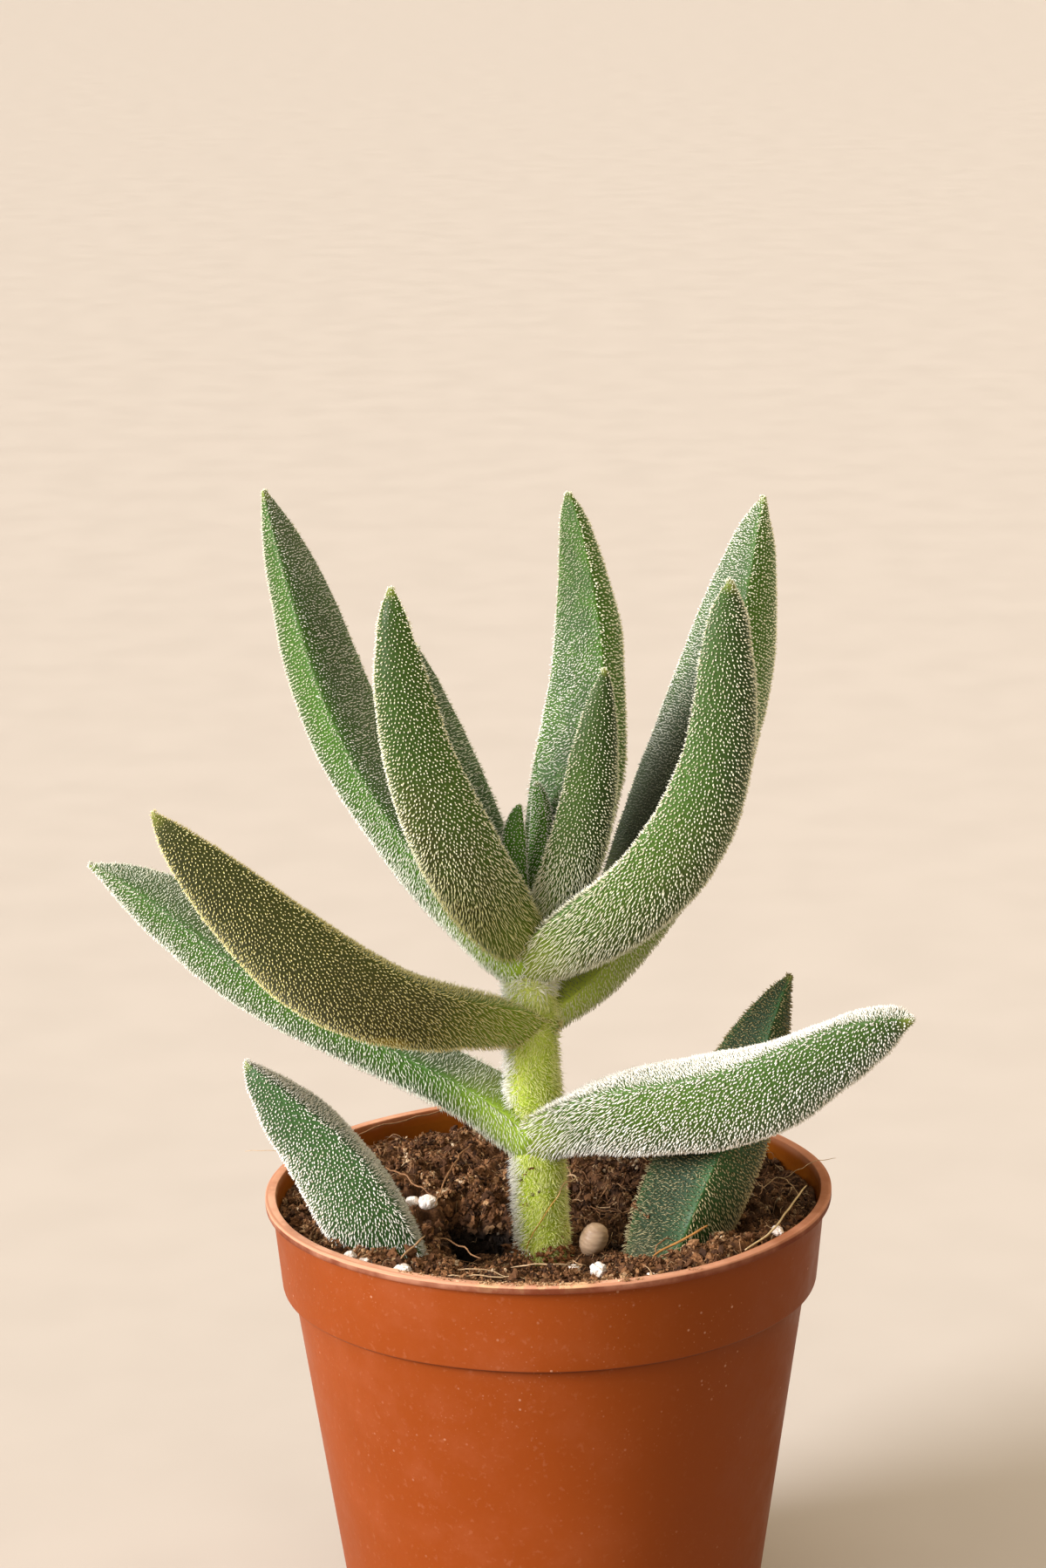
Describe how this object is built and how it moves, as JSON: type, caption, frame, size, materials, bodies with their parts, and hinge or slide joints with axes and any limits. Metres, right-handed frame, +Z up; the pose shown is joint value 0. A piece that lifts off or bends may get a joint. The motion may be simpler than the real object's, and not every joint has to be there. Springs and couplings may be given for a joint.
{
  "type": "potted succulent",
  "caption": "Upright fleshy-leaved succulent with short white hairs on opposite tapering leaves, growing in soil in a small round terracotta-coloured plastic nursery pot.",
  "frame": {"origin": "middle of the pot's flat underside", "axes": "+Z up along the pot's axis; the plant's pictured front faces -Y, with +X to the right"},
  "size_m": [0.0785, 0.0568, 0.1164],
  "materials": {
    "pot_plastic": "thin terracotta-orange moulded plastic, satin, with fine dust specks",
    "soil": "dark brown crumbly peat and coir, damp, matt",
    "stem": "yellow-green fleshy stem with soft pale hairs",
    "leaf": "green fleshy leaf, densely set with short stiff white hairs",
    "perlite": "white porous grain, matt",
    "pebble": "smooth beige, slightly satin",
    "fibre": "dry pale brown root and coir thread"
  },
  "bodies": {
    "root": {"pot": "pot_plastic", "soil": "soil", "stem": "stem", "leaf_soil_left": "leaf", "leaf_soil_right": "leaf", "leaf_pair1_right": "leaf", "leaf_pair1_left": "leaf", "leaf_pair2_left": "leaf", "leaf_pair2_right": "leaf", "leaf_pair3_right": "leaf", "leaf_pair3_left": "leaf", "leaf_pair4_front": "leaf", "leaf_pair4_back": "leaf", "leaf_pair5_right": "leaf", "leaf_pair5_left": "leaf", "leaf_tip_front": "leaf", "leaf_tip_back": "leaf", "perlite_01": "perlite", "perlite_02": "perlite", "perlite_03": "perlite", "perlite_04": "perlite", "perlite_05": "perlite", "perlite_06": "perlite", "perlite_07": "perlite", "perlite_08": "perlite", "perlite_09": "perlite", "perlite_10": "perlite", "pebble": "pebble", "fibre_pale": "fibre", "fibre_brown": "fibre", "fibre_stalk": "fibre"}
  },
  "joints": []
}
